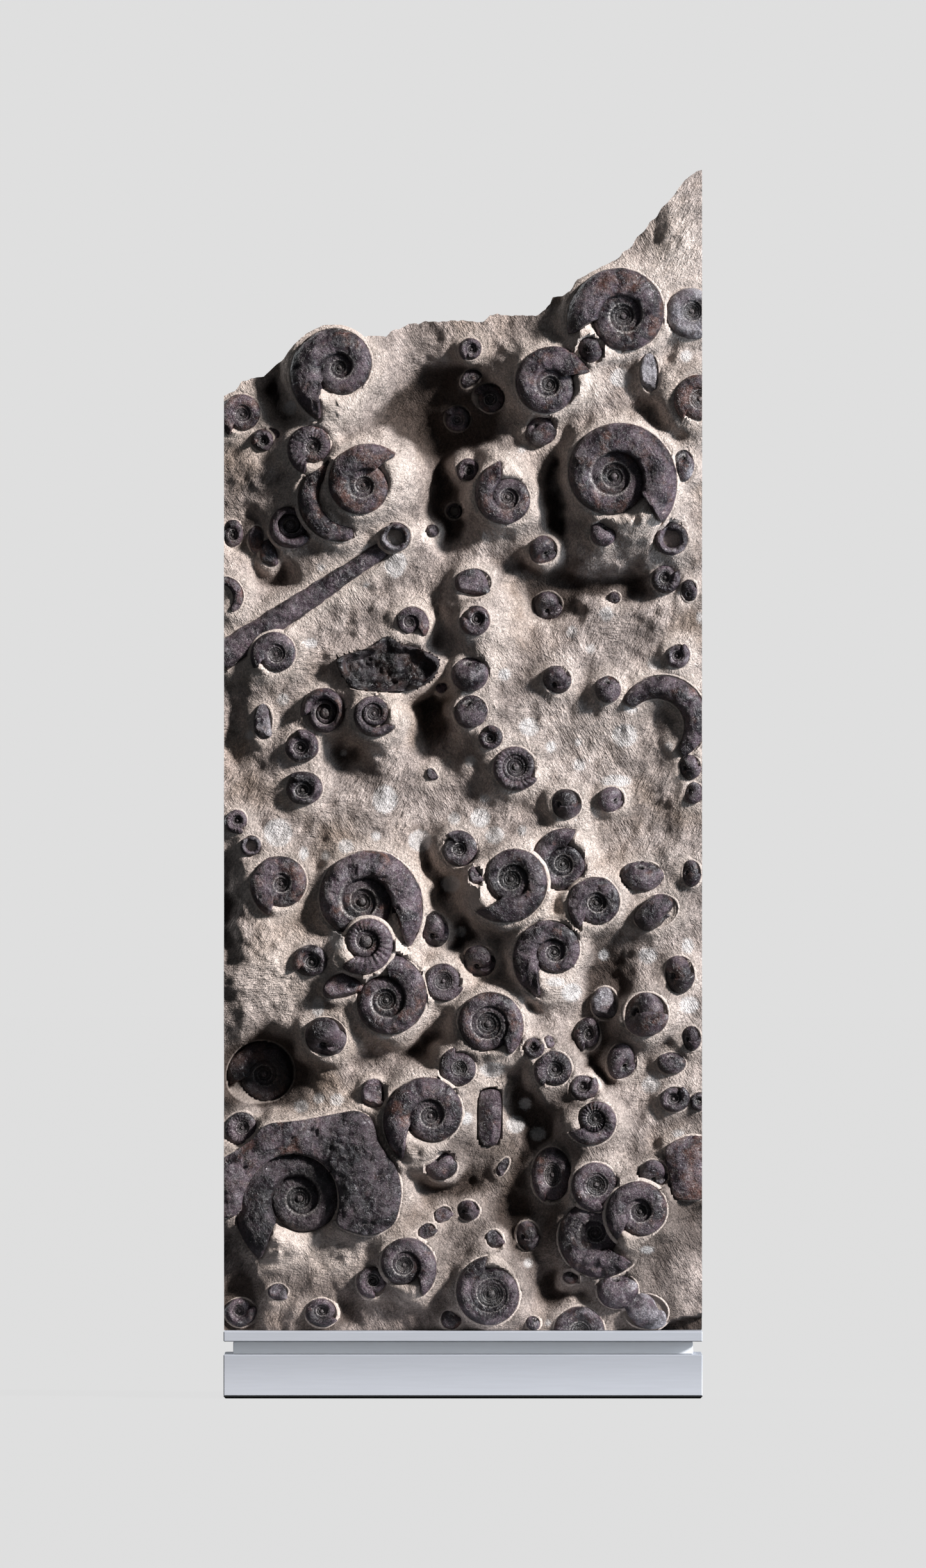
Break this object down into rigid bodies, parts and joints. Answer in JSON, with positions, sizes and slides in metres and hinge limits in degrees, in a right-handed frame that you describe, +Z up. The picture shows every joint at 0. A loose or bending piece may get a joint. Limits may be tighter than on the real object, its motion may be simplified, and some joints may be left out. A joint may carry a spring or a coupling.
{
  "type": "ammonite cluster plate",
  "caption": "Tall slab of prepared rock crowded with raised coiled ammonite shells, with a natural broken top edge, standing upright on a stepped rectangular plinth.",
  "frame": {"origin": "centre of the foot pad's underside", "axes": "+X to the right seen from the front, shells face -Y, +Z up"},
  "size_m": [0.6, 0.26, 1.5403],
  "materials": {
    "matrix_stone": "rough tan-grey rock with fine tool strokes, cream beside the shells and dark in the hollows",
    "fossil_stone": "dark grey-brown mineralised shell with a satin sheen",
    "plinth_metal": "satin light blue-grey",
    "plinth_recess": "matt grey recess",
    "foot_rubber": "matt black"
  },
  "bodies": {
    "root": {"ammonite_beaded": "fossil_stone", "ammonite_broken_half": "fossil_stone", "ammonite_brown_edge": "fossil_stone", "ammonite_centre": "fossil_stone", "ammonite_deep_upper": "fossil_stone", "ammonite_domed": "fossil_stone", "ammonite_egg": "fossil_stone", "ammonite_fine_ringed": "fossil_stone", "ammonite_foot_centre": "fossil_stone", "ammonite_foot_cut": "fossil_stone", "ammonite_great_centre": "fossil_stone", "ammonite_great_inner": "fossil_stone", "ammonite_great_right": "fossil_stone", "ammonite_half_hidden": "fossil_stone", "ammonite_high_right": "fossil_stone", "ammonite_left_edge": "fossil_stone", "ammonite_lit_rim": "fossil_stone", "ammonite_lobed": "fossil_stone", "ammonite_low_centre": "fossil_stone", "ammonite_low_notched": "fossil_stone", "ammonite_low_right": "fossil_stone", "ammonite_lower_centre": "fossil_stone", "ammonite_mid_left": "fossil_stone", "ammonite_mid_ribbed": "fossil_stone", "ammonite_mid_right": "fossil_stone", "ammonite_on_cone": "fossil_stone", "ammonite_pale_edge": "fossil_stone", "ammonite_pit": "fossil_stone", "ammonite_ribbed": "fossil_stone", "ammonite_ringed": "fossil_stone", "ammonite_scarred": "fossil_stone", "ammonite_small_left": "fossil_stone", "ammonite_small_right": "fossil_stone", "ammonite_small_ringed": "fossil_stone", "ammonite_small_upper": "fossil_stone", "ammonite_tan_centre": "fossil_stone", "ammonite_top_left": "fossil_stone", "ammonite_twin": "fossil_stone", "ammonite_upper_centre": "fossil_stone", "ammonite_upper_right": "fossil_stone", "broken_shell": "fossil_stone", "foot_pad": "foot_rubber", "goniatite_foot": "fossil_stone", "goniatite_heart": "fossil_stone", "goniatite_left": "fossil_stone", "goniatite_pale_arc": "fossil_stone", "goniatite_shiny": "fossil_stone", "goniatite_venter": "fossil_stone", "great_whorl_plate": "fossil_stone", "knob_foot": "fossil_stone", "matrix_slab": "matrix_stone", "plinth_block": "plinth_metal", "plinth_neck": "plinth_recess", "plinth_top": "plinth_metal", "shell_block_low": "fossil_stone", "shell_block_right": "fossil_stone", "straight_shell": "fossil_stone", "whorl_beside_dome": "fossil_stone", "whorl_left_edge": "fossil_stone", "whorl_right": "fossil_stone"}
  },
  "joints": []
}
